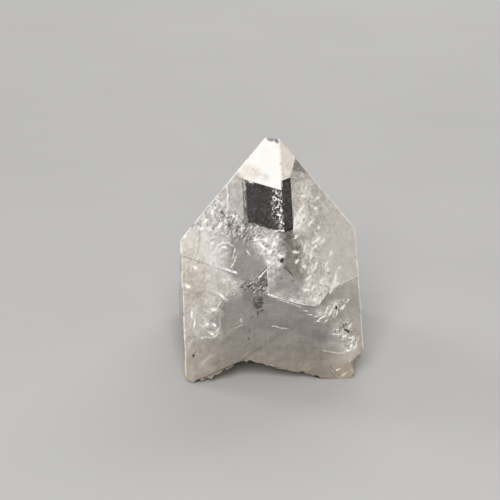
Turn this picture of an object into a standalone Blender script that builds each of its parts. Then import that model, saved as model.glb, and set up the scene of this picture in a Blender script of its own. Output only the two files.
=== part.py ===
"""Apophyllite point: one natural crystal, a square prism under a four-sided pyramid, broken off at its base.

Metres, +Z up. The origin is on the surface that the crystal stands on, in the middle of the prism.
The front faces -Y. Each pyramid face stands over an upright edge of the prism, as the species grows, so the
pyramid's edges run down to the middles of the prism's faces.
"""

import math
import random

import bmesh
import bpy
from mathutils import Matrix, Vector, noise

MM = 0.001

# Driving dimensions
HALF_WIDTH = 14.9 * MM
HALF_DEPTH = 14.92 * MM
PYRAMID_ANGLE = math.radians(60.45)  # apophyllite's own, between a pyramid face and the base
FRONT_LEFT_REACH = 18.13 * MM  # each pyramid face's distance from the origin
FRONT_RIGHT_REACH = 20.19 * MM
BACK_LEFT_REACH = 19.28 * MM
BACK_RIGHT_REACH = 19.15 * MM
LAYER_ROOM = 0.16 * MM  # how far the body stays inside those sizes, where growth layers lie on it
FRONT_LAYER = 0.26 * MM  # the thick layer that covers the front face's lower part
FLUSH = 0.02 * MM  # how far, at least, a growth layer's other faces stay inside the body's
ON_PLANE = 0.001 * MM  # a point this near a cutting plane counts as on it
TALLER_THAN_CRYSTAL = 60 * MM

# The break at the base
BREAK_CELL = 0.78 * MM
BREAK_LEDGE = 0.58 * MM  # height of the cleavage steps in the break
BREAK_MEAN = 2.5 * MM
BREAK_BLEND = 4.0 * MM  # how far behind the front face the front outline fades
FOOT_DEPTH = 4.6 * MM

# Broken tip
TIP_POINT = Vector((-0.79, 0.97, 36.9)) * MM
TIP_LEAN = Vector((-0.22, -0.04, 0.97))

SLANT = math.sin(PYRAMID_ANGLE) / math.sqrt(2)
RISE = math.cos(PYRAMID_ANGLE)
FACES = {
    "front_left": Vector((-SLANT, -SLANT, RISE)),
    "front_right": Vector((SLANT, -SLANT, RISE)),
    "back_left": Vector((-SLANT, SLANT, RISE)),
    "back_right": Vector((SLANT, SLANT, RISE)),
    "left": Vector((-1, 0, 0)),
    "right": Vector((1, 0, 0)),
    "front": Vector((0, -1, 0)),
    "back": Vector((0, 1, 0)),
    "base": Vector((0, 0, -1)),
}
REACH = {
    "front_left": FRONT_LEFT_REACH - LAYER_ROOM,
    "front_right": FRONT_RIGHT_REACH - LAYER_ROOM,
    "back_left": BACK_LEFT_REACH - LAYER_ROOM,
    "back_right": BACK_RIGHT_REACH - LAYER_ROOM,
    "left": HALF_WIDTH - LAYER_ROOM,
    "right": HALF_WIDTH - LAYER_ROOM,
    "front": HALF_DEPTH - FRONT_LAYER,
    "back": HALF_DEPTH - LAYER_ROOM,
    "base": 0.0,
}
PRISM_FACES = ("left", "right", "front", "back")


# Places on the crystal
def on_face(face, x, z, lift=0.0):
    """The point of a face that lies at this x and z, or at this y and z on the left and right faces."""
    normal = FACES[face]
    distance = REACH[face] + lift
    if abs(normal.x) == 1:
        return Vector((normal.x * distance, x, z))
    return Vector((x, (distance - normal.x * x - normal.z * z) / normal.y, z))


def on_edge(first, second, z):
    """The point at height z where two faces meet."""
    rows = Matrix((FACES[first], FACES[second], Vector((0, 0, 1))))
    return rows.inverted() @ Vector((REACH[first], REACH[second], z))


# Cuts, each a point of the cutting plane and the direction of what is cut away
def kept_left_of(x, lean=0.0):
    return Vector((x, 0, 0)), Vector((math.cos(lean), 0, math.sin(lean)))


def kept_right_of(x, lean=0.0):
    return Vector((x, 0, 0)), Vector((-math.cos(lean), 0, math.sin(lean)))


def kept_above(z, slope=0.0, at=0.0):
    """What lies above a line that has height z at x = at, and climbs by slope towards the right."""
    return Vector((at, 0, z)), Vector((slope, 0, -1)).normalized()


def kept_below(z, slope=0.0, at=0.0):
    return Vector((at, 0, z)), Vector((-slope, 0, 1)).normalized()


def kept_before(y):
    return Vector((0, y, 0)), Vector((0, 1, 0))


def kept_behind(y):
    return Vector((0, y, 0)), Vector((0, -1, 0))


# Building tools
def cut_away(mesh, point, direction):
    """Removes what lies past a plane and closes the cut with a flat face."""
    everything = mesh.verts[:] + mesh.edges[:] + mesh.faces[:]
    cut = bmesh.ops.bisect_plane(
        mesh, geom=everything, dist=ON_PLANE, plane_co=point, plane_no=direction, clear_outer=True
    )
    rim = [item for item in cut["geom_cut"] if isinstance(item, bmesh.types.BMEdge)]
    bmesh.ops.edgenet_fill(mesh, edges=rim)


def object_from(name, mesh, collection):
    bmesh.ops.triangulate(mesh, faces=mesh.faces[:])
    bmesh.ops.recalc_face_normals(mesh, faces=mesh.faces[:])
    if mesh.calc_volume(signed=True) < 0:
        bmesh.ops.reverse_faces(mesh, faces=mesh.faces[:])
    data = bpy.data.meshes.new(name)
    mesh.to_mesh(data)
    mesh.free()
    made = bpy.data.objects.new(name, data)
    collection.objects.link(made)
    return made


def block(name, planes, collection):
    """A convex body: a box cut down by planes, each a point and an outward direction."""
    mesh = bmesh.new()
    bmesh.ops.create_cube(mesh, size=2 * TALLER_THAN_CRYSTAL)
    for point, direction in planes:
        cut_away(mesh, point, direction)
    return object_from(name, mesh, collection)


def combine(body, other, operation, solver="EXACT"):
    """Joins other to body, or cuts it from body, and removes other.

    The exact solver loses the body where two layers nearly coincide, so layers use the other one.
    """
    modifier = body.modifiers.new(other.name, "BOOLEAN")
    modifier.operation = operation
    modifier.object = other
    modifier.solver = solver
    graph = bpy.context.evaluated_depsgraph_get()
    combined = bpy.data.meshes.new_from_object(body.evaluated_get(graph))
    body.modifiers.clear()
    mesh = bmesh.new()
    mesh.from_mesh(combined)
    bmesh.ops.remove_doubles(mesh, verts=mesh.verts[:], dist=ON_PLANE)
    bmesh.ops.triangulate(mesh, faces=mesh.faces[:])
    mesh.to_mesh(combined)
    mesh.free()
    old = body.data
    body.data = combined
    bpy.data.meshes.remove(old)
    bpy.data.objects.remove(other)


# The crystal's body and the thin layers that grew on its faces
def main_body(collection):
    planes = [(FACES[face] * reach, FACES[face]) for face, reach in REACH.items()]
    return block("crystal", planes, collection)


def growth_layer(rises, cuts, seed, collection):
    """A layer that stands proud of one or more faces, where the cuts leave it."""
    draw = random.Random(seed)
    planes = []
    for name, reach in REACH.items():
        if name in rises:
            planes.append((FACES[name] * (reach + rises[name]), FACES[name]))
        else:
            planes.append((FACES[name] * (reach - FLUSH * draw.uniform(1, 3)), FACES[name]))
    return block("layer", planes + cuts, collection)


def front_layers():
    """The smooth layer that wraps the crystal's lower part. Its rim steps down from left to right."""
    lean = math.radians(9.1)
    return [
        ({"front": FRONT_LAYER}, [kept_below(15.75 * MM, -0.284, -1.84 * MM)]),
        ({"front": 0.96 * FRONT_LAYER, "front_left": 0.13 * MM},
         [kept_below(19.5 * MM, 1.13, -1.38 * MM), kept_left_of(-4.37 * MM, -lean)]),
        ({"front_right": 0.14 * MM}, [kept_below(14.65 * MM, -0.01, 12 * MM)]),
        ({"front": 1.02 * FRONT_LAYER, "front_right": 0.15 * MM}, [kept_below(15.7 * MM, -0.284, -1.84 * MM)]),
    ]


def pyramid_layers():
    """Each layer as its rises and its cuts."""
    lean = math.radians(2)
    return [
        ({"front_left": 0.16 * MM}, [kept_above(17.22 * MM), kept_left_of(-4.85 * MM, math.radians(4.5))]),
        ({"front_left": 0.07 * MM}, [kept_above(30.5 * MM)]),
        ({"front_right": 0.09 * MM}, [kept_above(30.9 * MM)]),
        ({"back_left": 0.16 * MM}, [kept_left_of(-4.1 * MM, -lean), kept_above(11.5 * MM)]),
        ({"back_left": 0.09 * MM}, [kept_above(27.3 * MM, 0.05)]),
        ({"back_left": 0.12 * MM}, [kept_below(8.9 * MM, -0.4, -6 * MM)]),
        ({"back_right": 0.15 * MM}, [kept_right_of(5.3 * MM, lean), kept_above(13.4 * MM, 0.03)]),
        ({"back_right": 0.10 * MM}, [kept_below(24.6 * MM, 0.04), kept_above(17.1 * MM), kept_left_of(9 * MM)]),
        ({"back_right": 0.13 * MM}, [kept_below(7.9 * MM, 0.3, 8 * MM)]),
    ]


def striations(face, seed, thickest):
    """Upright strips of different thickness, which make a prism face's fine ribs and grooves."""
    draw = random.Random(seed)
    layers = []
    start = -HALF_WIDTH + 1.2 * MM
    while start < HALF_WIDTH - 3 * MM:
        width = draw.uniform(0.9, 4.2) * MM
        lean = math.radians(draw.uniform(-0.5, 0.5))
        if face in ("left", "right"):
            cuts = [kept_behind(start), kept_before(start + width)]
        else:
            cuts = [kept_right_of(start, lean), kept_left_of(start + width, lean)]
        layers.append(({face: thickest * draw.uniform(0.25, 1.0)}, cuts))
        start += width + draw.uniform(0.7, 3.2) * MM
    return layers


# Damage: pits, nicked edges, the broken tip and the broken corner
def lump(name, centre, radius, seed, collection, stretch=Vector((1, 1, 1))):
    """A rough stone-like cutter."""
    mesh = bmesh.new()
    bmesh.ops.create_icosphere(mesh, subdivisions=1, radius=radius)
    draw = random.Random(seed)
    turn = Matrix.Rotation(draw.uniform(0, math.tau), 3, "Z")
    for vert in mesh.verts:
        vert.co = turn @ vert.co * draw.uniform(0.72, 1.16)
        vert.co = Vector((vert.co.x * stretch.x, vert.co.y * stretch.y, vert.co.z * stretch.z)) + centre
    return object_from(name, mesh, collection)


def pit(face, x, z, radius, seed, collection, lift=0.0):
    """A small cutter in the shape of an etch pit, a blunt many-sided cone sunk in a face."""
    mesh = bmesh.new()
    depth = 1.3 * radius
    draw = random.Random(seed)
    bmesh.ops.create_cone(
        mesh, cap_ends=True, segments=draw.choice((5, 6, 7)),
        radius1=0.35 * radius, radius2=1.15 * radius, depth=2 * depth,
    )
    normal = FACES[face]
    turn = normal.to_track_quat("Z", "Y").to_matrix() @ Matrix.Rotation(draw.uniform(0, 1), 3, "Z")
    place = on_face(face, x, z, lift) + normal * 0.25 * depth
    for vert in mesh.verts:
        vert.co = turn @ (vert.co * draw.uniform(0.86, 1.14)) + place
    return object_from("pit", mesh, collection)


def pits_in_front():
    """Face, x, z, radius and lift of the pits that show in front, in millimetres."""
    low = FRONT_LAYER / MM
    return [
        ("front_left", 0.6, 20.9, 0.36, 0.0),
        ("front_left", -13.5, 4.1, 0.3, 0.13),
        ("front_left", -11.9, 11.9, 0.24, 0.0),
        ("front", -2.7, 14.6, 0.72, low),
        ("front", -2.9, 12.7, 0.24, low),
        ("front", -2.1, 13.0, 0.18, low),
        ("front", -3.7, 12.0, 0.2, low),
        ("front", 0.9, 18.4, 0.24, 0.0),
        ("front", 0.4, 17.5, 0.18, 0.0),
        ("front", -4.5, 8.1, 0.24, low),
        ("front_right", 11.7, 8.6, 0.36, 0.14),
        ("front_right", 11.3, 9.3, 0.26, 0.14),
        ("front_right", 11.0, 8.0, 0.24, 0.14),
        ("front_right", 12.3, 8.1, 0.2, 0.14),
        ("front_right", 10.1, 12.0, 0.32, 0.14),
        ("front_right", 10.7, 11.2, 0.2, 0.14),
    ]


def pits_at_back():
    """The same for the other sides, which the viewer doesn't see."""
    draw = random.Random(12)
    spots = []
    for face, middle in (("back_left", -6), ("back_right", 7), ("back", 0), ("left", -2), ("right", 3)):
        for _ in range(3):
            spots.append((face, middle + draw.uniform(-3, 3), draw.uniform(7, 15), draw.uniform(0.2, 0.4), 0.0))
    return spots


def nicked_edges(collection):
    """Cutters for small chips along the edges, each as two faces and a height."""
    chips = [
        ("front_left", "back_left", 22.0, 0.62), ("front_left", "back_left", 33.6, 0.34),
        ("front_right", "back_right", 36.6, 0.6), ("front_right", "back_right", 26.4, 0.3),
        ("front_left", "front_right", 26.1, 0.32), ("front_left", "front_right", 34.2, 0.26),
        ("front_left", "left", 9.2, 0.4), ("front_right", "right", 12.1, 0.36),
        ("front_left", "front", 11.2, 0.34), ("front_right", "front", 9.1, 0.4),
        ("back_left", "back_right", 24.8, 0.5), ("back_left", "back", 12.0, 0.5),
        ("back_right", "back", 9.4, 0.6), ("back_right", "right", 14.6, 0.5), ("back_left", "left", 10.3, 0.5),
    ]
    for seed, (first, second, height, radius) in enumerate(chips):
        outward = (FACES[first] + FACES[second]).normalized()
        centre = on_edge(first, second, height * MM) + outward * 0.62 * radius * MM
        yield lump("nick", centre, radius * MM, seed, collection, Vector((1, 1, 1.6)))
    for seed, spot in enumerate(((0.25, -0.25, 37.25), (1.05, -0.75, 37.42))):
        yield lump("nick", Vector(spot) * MM, 0.38 * MM, 40 + seed, collection)


def broken_tip(collection):
    """What the tip has lost: all above a plane that leans forwards, with a rough face."""
    mesh = bmesh.new()
    bmesh.ops.create_grid(mesh, x_segments=9, y_segments=9, size=4 * MM)
    turn = TIP_LEAN.normalized().to_track_quat("Z", "Y").to_matrix()
    for vert in mesh.verts:
        vert.co = turn @ vert.co + TIP_POINT
        vert.co.z += 0.12 * MM * noise.noise(vert.co / (0.9 * MM))
    sheet = mesh.faces[:]
    top = bmesh.ops.extrude_face_region(mesh, geom=sheet)
    for item in top["geom"]:
        if isinstance(item, bmesh.types.BMVert):
            item.co.z += 8 * MM
    return object_from("tip", mesh, collection)


def corner_outline():
    """The broken corner at the lower right, as seen from the front: a hollow above a small nub."""
    return [
        (18.0, 6.0), (14.7, 5.4), (13.7, 4.35), (12.9, 3.8), (12.35, 3.1),
        (12.7, 2.3), (13.1, 1.1), (12.5, 0.2), (12.3, -2.0), (18.0, -2.0),
    ]


def broken_corner(collection):
    """A cutter with that outline, which narrows and roughens away from the front."""
    mesh = bmesh.new()
    rings = []
    for step in range(6):
        ring = []
        for x, z in corner_outline():
            outwards = 0.1 * step + 0.9 * max(0, step - 2) ** 2
            place = Vector((x + outwards, -16.6 + 1.7 * step, z - 0.55 * max(0, step - 1))) * MM
            if step > 1:
                place += 0.3 * MM * noise.noise_vector(place / (2.6 * MM))
            ring.append(mesh.verts.new(place))
        rings.append(ring)
    for near, far in zip(rings, rings[1:]):
        for this in range(len(near)):
            mesh.faces.new((near[this - 1], near[this], far[this], far[this - 1]))
    mesh.faces.new(rings[0])
    mesh.faces.new(rings[-1])
    return object_from("corner", mesh, collection)


# The break at the base
def front_outline():
    """Height of the break along the foot of the front face, in millimetres, from left to right."""
    return [
        (-16.0, 1.5), (-14.9, 1.2), (-14.4, 0.4), (-13.6, 0.45), (-11.9, 0.85), (-10.3, 1.3), (-9.4, 1.9),
        (-7.8, 2.6), (-6.9, 3.2), (-6.1, 3.85), (-4.5, 3.9), (-3.7, 3.75), (-2.0, 3.2), (0.5, 2.3),
        (2.1, 2.05), (4.6, 1.5), (6.3, 0.85), (7.2, 0.45), (8.8, 0.3), (11.3, -0.1), (12.5, 0.1), (16.0, 0.3),
    ]


def outline_height(x):
    points = front_outline()
    for (left, low), (right, high) in zip(points, points[1:]):
        if x <= right * MM:
            share = max(0.0, (x / MM - left) / (right - left))
            return (low + (high - low) * share) * MM
    return points[-1][1] * MM


def feet():
    """The lobes that the crystal stands on: middle and radius of each, in millimetres."""
    return [(-11.0, -11.0, 4.6), (8.2, -11.6, 4.2), (-9.6, 9.4, 5.6), (9.0, 9.8, 5.6)]


def break_height(x, y):
    """Height of the broken surface. Where it falls below 0 the crystal keeps a flat foot."""
    spot = Vector((x, y, 0)) / MM
    inner = BREAK_MEAN + 1.5 * MM * noise.noise(spot / 9) + 0.9 * MM * noise.noise(spot / 3.7 + Vector((5, 1, 0)))
    for foot_x, foot_y, radius in feet():
        away = (Vector((foot_x, foot_y, 0)) - spot).length / radius
        inner -= FOOT_DEPTH * math.exp(-away * away * 1.4)
    share = min(1.0, max(0.0, (y + HALF_DEPTH) / BREAK_BLEND))
    share = share * share * (3 - 2 * share)
    height = outline_height(x) * (1 - share) + inner * share
    stepped = round(height / BREAK_LEDGE) * BREAK_LEDGE
    rough = 0.1 * MM * noise.noise(spot / 0.9)
    return height + (stepped - height) * (0.3 + 0.55 * share) + rough


def broken_base(collection):
    """A slab whose upper side is the broken surface."""
    half = 17.5 * MM
    cells = round(2 * half / BREAK_CELL)
    mesh = bmesh.new()
    bmesh.ops.create_grid(mesh, x_segments=cells, y_segments=cells, size=half)
    draw = random.Random(4)
    for vert in mesh.verts:
        vert.co.x += draw.uniform(-0.26, 0.26) * BREAK_CELL
        vert.co.y += draw.uniform(-0.26, 0.26) * BREAK_CELL
        vert.co.z = break_height(vert.co.x, vert.co.y)
    bmesh.ops.triangulate(mesh, faces=mesh.faces[:], quad_method="SHORT_EDGE")
    under = bmesh.ops.extrude_face_region(mesh, geom=mesh.faces[:])
    for item in under["geom"]:
        if isinstance(item, bmesh.types.BMVert):
            item.co.z = -6 * MM
    return object_from("break", mesh, collection)


# Finish
def crystal_material():
    material = bpy.data.materials.new("clear_milky_crystal")
    material.use_nodes = True
    shader = material.node_tree.nodes["Principled BSDF"]
    shader.inputs["Base Color"].default_value = (0.86, 0.85, 0.83, 1)
    shader.inputs["Roughness"].default_value = 0.12
    shader.inputs["Metallic"].default_value = 0.0
    shader.inputs["IOR"].default_value = 1.535
    shader.inputs["Transmission Weight"].default_value = 0.6
    return material


def collection_named(name):
    made = bpy.data.collections.new(name)
    bpy.context.scene.collection.children.link(made)
    return made


def main():
    for old in list(bpy.data.objects):
        bpy.data.objects.remove(old)
    point = collection_named("apophyllite_point")
    cutters = collection_named("cutters")
    crystal = main_body(point)
    layers = pyramid_layers() + front_layers()
    layers += striations("left", 3, LAYER_ROOM) + striations("right", 8, LAYER_ROOM)
    layers += striations("back", 5, LAYER_ROOM)
    for seed, (rises, cuts) in enumerate(layers):
        combine(crystal, growth_layer(rises, cuts, seed, cutters), "UNION", "MANIFOLD")
    for seed, (face, x, z, radius, lift) in enumerate(pits_in_front() + pits_at_back()):
        cutter = pit(face, x * MM, z * MM, radius * MM, seed, cutters, lift * MM)
        combine(crystal, cutter, "DIFFERENCE")
    for cutter in nicked_edges(cutters):
        combine(crystal, cutter, "DIFFERENCE")
    combine(crystal, broken_tip(cutters), "DIFFERENCE")
    combine(crystal, broken_corner(cutters), "DIFFERENCE")
    combine(crystal, broken_base(cutters), "DIFFERENCE")
    crystal.data.materials.clear()
    crystal.data.materials.append(crystal_material())


main()
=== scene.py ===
"""Apophyllite point: the finished look of one clear and milky crystal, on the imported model's frame."""

import math
import random

import bmesh
import bpy
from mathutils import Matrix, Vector


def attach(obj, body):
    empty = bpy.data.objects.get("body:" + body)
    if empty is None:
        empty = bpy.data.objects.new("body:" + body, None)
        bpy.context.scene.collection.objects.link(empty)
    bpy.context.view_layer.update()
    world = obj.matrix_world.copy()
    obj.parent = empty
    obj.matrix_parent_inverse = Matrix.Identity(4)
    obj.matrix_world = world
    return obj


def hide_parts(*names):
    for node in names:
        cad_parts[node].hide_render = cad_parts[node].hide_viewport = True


bl_info = {
    "name": "Apophyllite Point",
    "version": (1, 0, 0),
    "blender": (4, 5, 0),
    "location": "View3D > Sidebar > Crystal",
    # The windows below the tip are clear crystal; their darkness is painted shade, from a dark pocket behind them
    "description": "A clear and milky apophyllite point with smoky windows below its tip",
    "category": "Object",
}

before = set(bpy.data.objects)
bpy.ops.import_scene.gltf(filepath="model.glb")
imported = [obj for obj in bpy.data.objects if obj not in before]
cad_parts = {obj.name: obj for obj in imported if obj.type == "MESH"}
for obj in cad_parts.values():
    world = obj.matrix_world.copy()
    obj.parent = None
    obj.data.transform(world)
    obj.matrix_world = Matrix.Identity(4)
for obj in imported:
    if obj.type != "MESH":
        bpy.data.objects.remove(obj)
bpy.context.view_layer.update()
MM = 0.001

# The crystal's faces, as the solid has them: outward direction and distance from the origin in millimetres
PYRAMID_ANGLE = math.radians(60.45)
SLANT = math.sin(PYRAMID_ANGLE) / math.sqrt(2)
RISE = math.cos(PYRAMID_ANGLE)
FACES = {
    "front_left": (Vector((-SLANT, -SLANT, RISE)), 18.13),
    "front_right": (Vector((SLANT, -SLANT, RISE)), 20.19),
    "back_left": (Vector((-SLANT, SLANT, RISE)), 19.28),
    "back_right": (Vector((SLANT, SLANT, RISE)), 19.15),
    "left": (Vector((-1, 0, 0)), 14.9),
    "right": (Vector((1, 0, 0)), 14.9),
    "front": (Vector((0, -1, 0)), 14.92),
    "back": (Vector((0, 1, 0)), 14.92),
}
FRONT_FACES = ("front_left", "front_right", "front")
PARTS = (*FRONT_FACES, "around", "break")
APOPHYLLITE_IOR = 1.535

# How a face of the mesh is told to lie on a face of the crystal
SAME_DIRECTION = 0.995
SLIVER_WIDTH = 0.05 * MM
SLIVER_HEIGHT = 0.015 * MM

# What is roughened: larger faces of the break, above the points that the crystal stands on, and the foot line
# between two heights. The lumps are about as large as the roughness is coarse
SMALL_FACE = 0.02 * MM * MM
STANDING_HEIGHT = 0.3 * MM
FOOT_LINE_START, FOOT_LINE_END = 0.4 * MM, 6.0 * MM
BREAK_LUMPS, FOOT_LINE_LUMPS = 0.9 * MM, 0.8 * MM


# Sizes and colours
def length(name, description, default):
    return bpy.props.FloatProperty(
        name=name, description=description, default=default, subtype="DISTANCE", unit="LENGTH",
    )


def colour(name, description, default):
    return bpy.props.FloatVectorProperty(
        name=name, description=description, default=default, subtype="COLOR", size=3, min=0, max=1,
    )


def power(name, description, default):
    return bpy.props.FloatProperty(name=name, description=description, default=default, unit="POWER")


class CrystalSizes(bpy.types.PropertyGroup):
    # The window below the tip is clear crystal; its darkness is painted shade, from the dark pocket behind it
    window_left: length("Window left", "Left edge of the shade_painted window below the tip", -4.4 * MM)
    window_right: length("Window right", "Right edge of the shade_painted window", 3.35 * MM)
    window_top: length("Window top", "Height of the level crack that closes the window", 30.45 * MM)
    window_bottom: length("Window bottom", "Height where the cloud begins under the window", 24.7 * MM)
    window_depth: length("Window depth", "Clear crystal in front of the shade_painted pocket", 0.5 * MM)
    break_relief: length("Break relief", "Height of the fine roughness on broken surfaces", 0.16 * MM)
    foot_relief: length("Foot relief", "Height of the jags along the foot of the upright faces", 1.2 * MM)
    grain_rise: length("Grain rise", "How far a dark grain stands out of its face", 0.04 * MM)
    # The pocket's colour is painted shade: the darkness seen through the clear window
    pocket_shade: colour("Shade_colour", "Colour of the shade_painted pocket", (0.015, 0.013, 0.011))
    stain: colour("Stain", "Colour of the stains at the base", (0.55, 0.45, 0.32))


class StageSizes(bpy.types.PropertyGroup):
    floor_radius: length("Floor radius", "Radius of the floor", 1.6)
    floor_depth: length("Floor depth", "Thickness of the floor", 0.01)
    floor_colour: colour("Floor colour", "Colour of the floor", (0.5, 0.495, 0.485))
    main_light: power("Main light", "Power of the large light in front", 2.75)
    side_light: power("Side light", "Power of the light from the left", 0.8)
    back_light: power("Back light", "Power of the light from behind", 1.1)
    room: bpy.props.FloatProperty(name="Room", description="Brightness of the surroundings", default=0.26, min=0)


# Node finishes. Lengths in them are millimetres of the crystal
class Finish:
    """A material under construction, with short names for the nodes that paint it."""

    def __init__(self, name):
        self.material = bpy.data.materials.new(name)
        self.material.use_nodes = True
        self.tree = self.material.node_tree
        self.shader = self.tree.nodes["Principled BSDF"]
        place = self.node("ShaderNodeTexCoord").outputs["Object"]
        self.place = self.vector("SCALE", {0: place, "Scale": 1 / MM})
        self.x, self.y, self.z = self.node("ShaderNodeSeparateXYZ", {0: self.place}).outputs
        self.flat = self.node("ShaderNodeCombineXYZ", {0: self.x, 1: self.z}).outputs[0]

    def feed(self, socket, value):
        """Links a socket to another one, or gives it a value."""
        if isinstance(value, bpy.types.NodeSocket):
            self.tree.links.new(value, socket)
        else:
            socket.default_value = value

    def paint(self, values):
        """Sets the finish's own values, by their names."""
        for name, value in values.items():
            self.feed(self.shader.inputs[name], value)

    def node(self, kind, inputs=None, **settings):
        """Adds a node with these settings, and with inputs by their names or numbers."""
        made = self.tree.nodes.new(kind)
        for name, value in settings.items():
            setattr(made, name, value)
        for name, value in (inputs or {}).items():
            self.feed(made.inputs[name], value)
        return made

    def math(self, operation, *values):
        return self.node("ShaderNodeMath", dict(enumerate(values)), operation=operation).outputs[0]

    def vector(self, operation, inputs, output="Vector"):
        return self.node("ShaderNodeVectorMath", inputs, operation=operation).outputs[output]

    def times(self, *values):
        product, *others = values
        for value in others:
            product = self.math("MULTIPLY", product, value)
        return product

    def plus(self, *values):
        """The sum of the values. A pair in them stands for its product."""
        total, *others = (self.times(*value) if isinstance(value, tuple) else value for value in values)
        for value in others:
            total = self.math("ADD", total, value)
        return total

    def minus(self, value, taken):
        return self.math("SUBTRACT", value, taken)

    def most(self, first, second):
        return self.math("MAXIMUM", first, second)

    def least(self, first, second):
        return self.math("MINIMUM", first, second)

    def size_of(self, value):
        return self.math("ABSOLUTE", value)

    def ramp(self, value, low, high, way="LINEAR"):
        """0 below low, 1 above high, and even between them."""
        inputs = dict(enumerate((value, low, high, 0.0, 1.0)))
        return self.node("ShaderNodeMapRange", inputs, interpolation_type=way).outputs[0]

    def step(self, value, low, high):
        """0 below low, 1 above high, and smooth between them."""
        return self.ramp(value, low, high, "SMOOTHSTEP")

    def where(self, *limits):
        """1 where each value is past its limit. Each limit is a value, and where its step starts and ends."""
        return self.times(*(self.step(*limit) for limit in limits))

    def blend(self, share, first, second):
        """The first value, going over to the second one as the share rises."""
        return self.node("ShaderNodeMix", {0: share, 2: first, 3: second}, data_type="FLOAT").outputs[0]

    def tint(self, share, first, second, way="MIX"):
        """The first colour, going over to the second one, or mixed with it in another way."""
        inputs = {0: share}
        for number, shade in ((6, first), (7, second)):
            inputs[number] = shade if isinstance(shade, bpy.types.NodeSocket) else (*shade, 1.0)
        return self.node("ShaderNodeMix", inputs, data_type="RGBA", blend_type=way).outputs[2]

    def mapped(self, place, spot, turns, stretch):
        """The place as it is measured from a spot, along turned axes that are drawn out by stretch."""
        turns = tuple(math.radians(turn) for turn in turns)
        inputs = {"Vector": place, "Location": spot, "Rotation": turns, "Scale": stretch}
        return self.node("ShaderNodeMapping", inputs, vector_type="TEXTURE").outputs[0]

    def laid(self, stretch, shift, turn):
        """The place, drawn out by stretch along axes that are turned about the front-to-back axis."""
        return self.mapped(self.place, shift, (0, turn, 0), stretch)

    def cloud(self, size, detail=2.0, rough=0.5, warp=0.0, stretch=(1, 1, 1), shift=(0, 0, 0), turn=0.0):
        """Noise whose lumps are about this size, spread to about 0 to 1."""
        noise = self.node("ShaderNodeTexNoise", {
            "Vector": self.laid(stretch, shift, turn), "Scale": 1.0 / size, "Detail": detail,
            "Roughness": rough, "Distortion": warp,
        })
        return self.ramp(noise.outputs[0], 0.28, 0.72)

    def crumpled(self, push, size):
        """The place, pushed about by this much, so that what is drawn on it gets uneven outlines."""
        noise = self.node("ShaderNodeTexNoise", {"Vector": self.place, "Scale": 1.0 / size, "Detail": 3.0})
        middle = self.vector("SUBTRACT", {0: noise.outputs["Color"], 1: (0.5, 0.5, 0.5)})
        return self.vector("MULTIPLY_ADD", {0: middle, 1: (2 * push, 2 * push, 2 * push), 2: self.place})

    def cells(self, place, size, **settings):
        """Uneven cells of about this size."""
        return self.node("ShaderNodeTexVoronoi", {"Vector": place, "Scale": 1.0 / size}, **settings).outputs

    def cell_value(self, cells):
        """A different value from 0 to 1 on each cell."""
        return self.node("ShaderNodeSeparateColor", {0: cells["Color"]}).outputs[0]

    def cracks(self, size, place, width):
        """1 on thin lines between uneven cells."""
        cells = self.cells(place, size, feature="DISTANCE_TO_EDGE")
        return self.step(cells["Distance"], width, 0.3 * width)

    def picked(self, size, share, stretch=(1, 1, 1), shift=(0, 0, 0), turn=0.0):
        """1 inside a random share of small cells, fading at each cell's rim."""
        cells = self.cells(self.laid(stretch, shift, turn), size, distance="CHEBYCHEV")
        near = self.step(cells["Distance"], 0.4, 0.22)
        return self.times(self.math("LESS_THAN", self.cell_value(cells), share), near)

    def roughen_flat(self, push, size):
        """Makes the marks that are drawn from here on uneven."""
        across, _, along = self.node("ShaderNodeSeparateXYZ", {0: self.crumpled(push, size)}).outputs
        self.flat = self.node("ShaderNodeCombineXYZ", {0: across, 1: along}).outputs[0]

    def oval(self, x, z, slope, long, high):
        """0 in the middle of a sloping oval on the front, 1 on its outline, and more outside it."""
        inside = self.mapped(self.flat, (x, z, 0), (0, 0, slope), (long, 0.75 * high, 1))
        return self.vector("LENGTH", {0: inside}, "Value")

    def nearest_oval(self, ovals):
        """The smallest of the values of several ovals."""
        nearest = 10.0
        for oval in ovals:
            nearest = self.least(nearest, self.oval(*oval))
        return nearest

    def patch(self, x, z, wide, high, wobble, soft=0.5):
        """1 inside an uneven oval on the front, 0 outside it."""
        across = self.math("DIVIDE", self.minus(self.x, x), wide)
        along = self.math("DIVIDE", self.minus(self.z, z), high)
        away = self.math("SQRT", self.plus((across, across), (along, along)))
        return self.step(self.plus(away, wobble), 1.0 + soft, 1.0 - soft)

    def mark(self, points, width):
        """1 on a thin line through points (x, z) on the front."""
        nearest = 100.0
        for start, end in zip(points, points[1:]):
            along = Vector((end[0] - start[0], end[1] - start[1], 0))
            offset = self.vector("SUBTRACT", {0: self.flat, 1: (*start, 0)})
            share = self.vector("DOT_PRODUCT", {0: offset, 1: along / along.length_squared}, "Value")
            share = self.least(self.most(share, 0.0), 1.0)
            foot = self.vector("SCALE", {0: along, "Scale": share})
            nearest = self.least(nearest, self.vector("DISTANCE", {0: offset, 1: foot}, "Value"))
        return self.step(nearest, width, 0.4 * width)

    def edge_distance(self):
        """How far a point on the surface lies from the nearest edge between two of the crystal's faces."""
        nearest, second = 100.0, 100.0
        for direction, reach in FACES.values():
            depth = self.minus(reach, self.vector("DOT_PRODUCT", {0: self.place, 1: direction}, "Value"))
            second = self.least(second, self.most(nearest, depth))
            nearest = self.least(nearest, depth)
        return second

    def line_height(self, points):
        """Height at each x of a line through points (x, z)."""
        made = self.node("ShaderNodeFloatCurve")
        low, high = points[0][0], points[-1][0]
        top = max(z for _, z in points)
        curve = made.mapping.curves[0]
        spots = [((x - low) / (high - low), z / top) for x, z in points]
        curve.points[0].location, curve.points[1].location = spots[0], spots[-1]
        for spot in spots[1:-1]:
            curve.points.new(*spot)
        for point in curve.points:
            point.handle_type = "VECTOR"
        made.mapping.update()
        self.feed(made.inputs["Value"], self.ramp(self.x, low, high))
        return self.times(made.outputs[0], top)

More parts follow.
